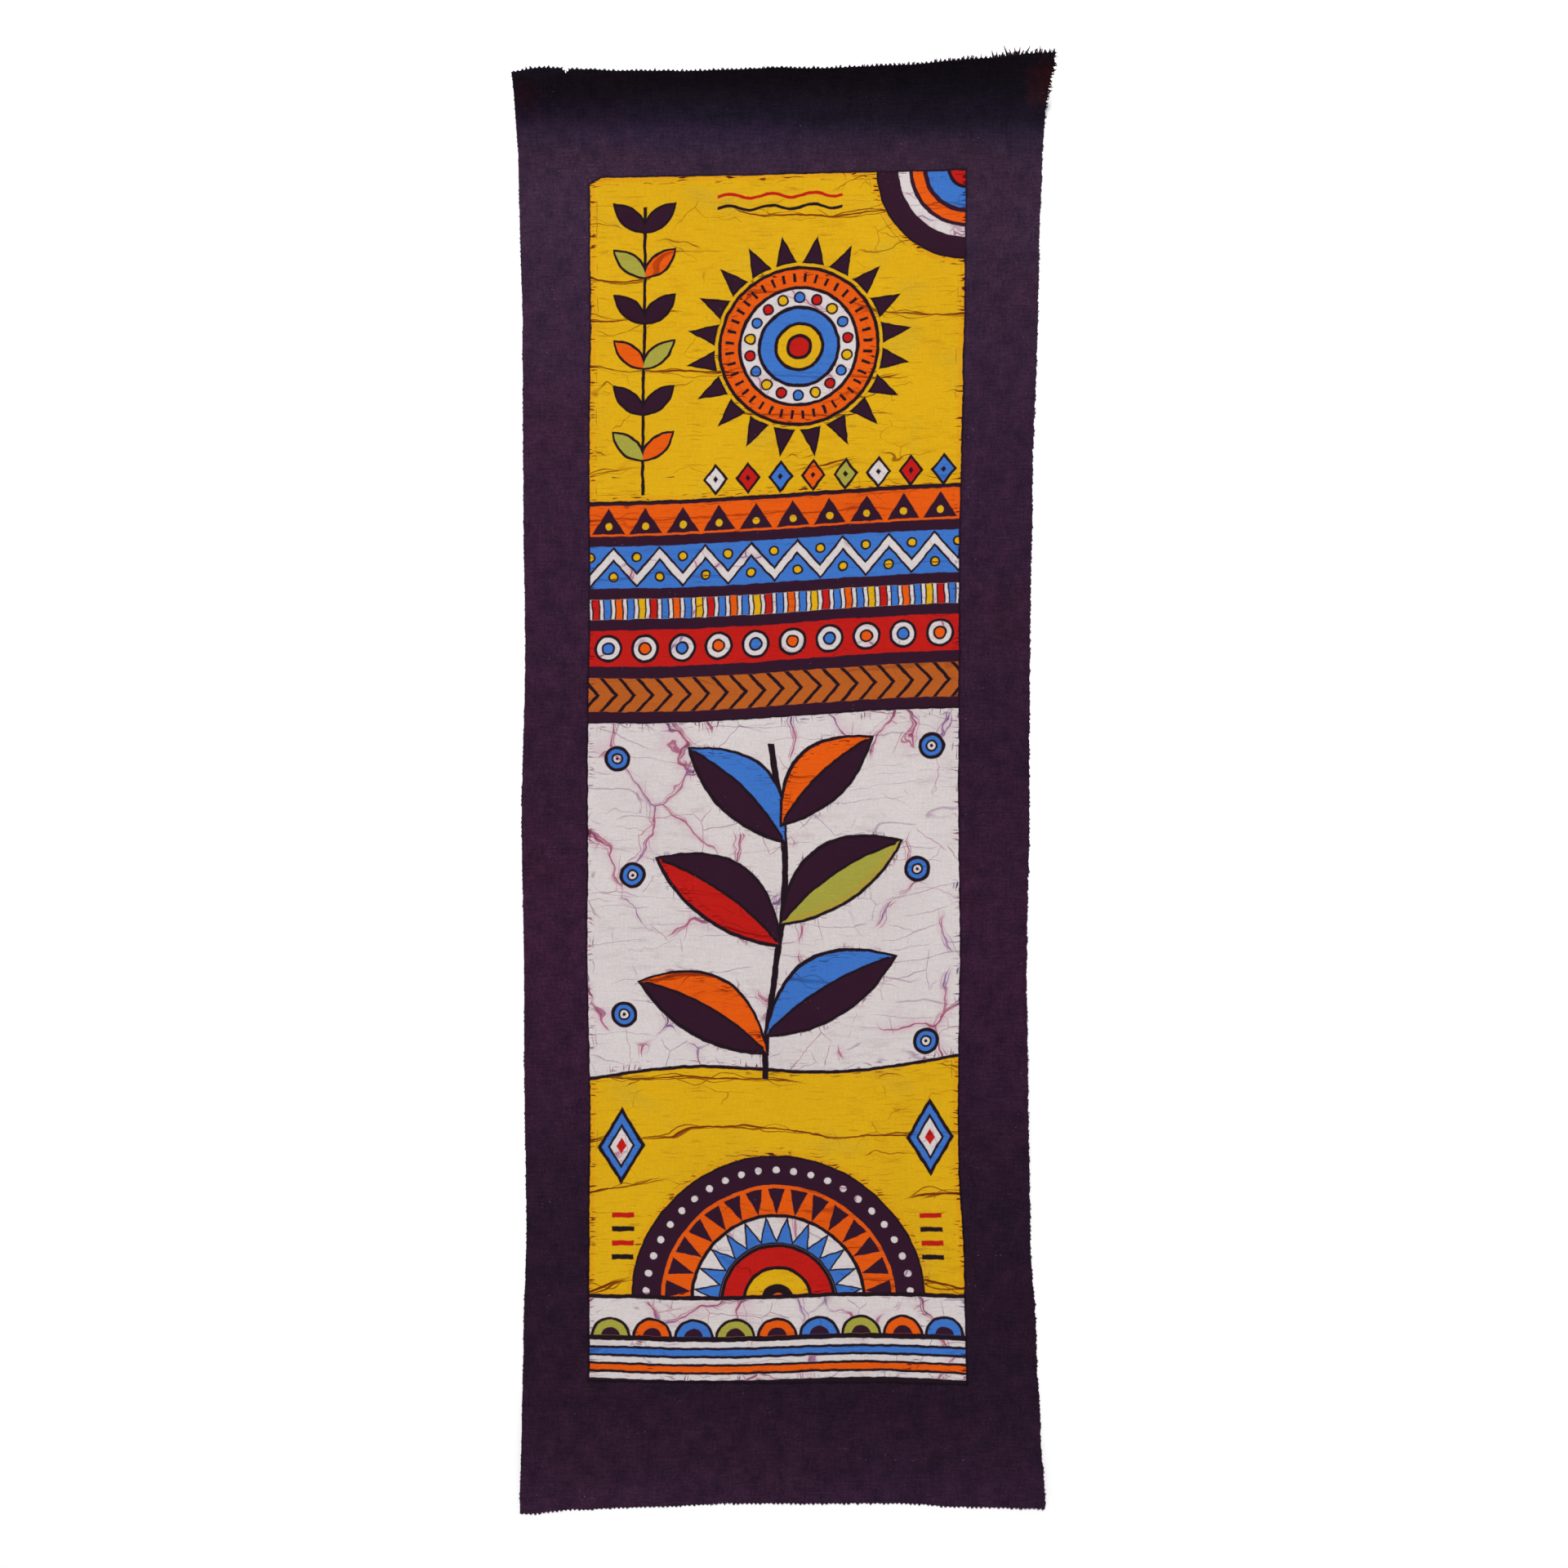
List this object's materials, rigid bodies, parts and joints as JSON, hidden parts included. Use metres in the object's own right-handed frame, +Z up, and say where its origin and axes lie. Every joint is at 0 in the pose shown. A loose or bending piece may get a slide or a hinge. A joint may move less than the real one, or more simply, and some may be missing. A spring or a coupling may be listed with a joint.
{
  "type": "batik cloth",
  "caption": "Long narrow panel of wax-resist dyed cotton with raw edges, lying face up and flat, its one end curled up off the surface.",
  "frame": {"origin": "middle of the cloth's outline, at the level of the surface that it lies on", "axes": "+X across the cloth, +Y along its length towards the curled end, +Z up out of its patterned face"},
  "size_m": [0.3598, 0.9766, 0.0371],
  "materials": {
    "dyed_cotton": "matt plain-weave cotton, dark purple border dye around a panel in white, yellow, blue, red, orange, tan and green"
  },
  "bodies": {
    "root": {"cloth": "dyed_cotton"}
  },
  "joints": []
}
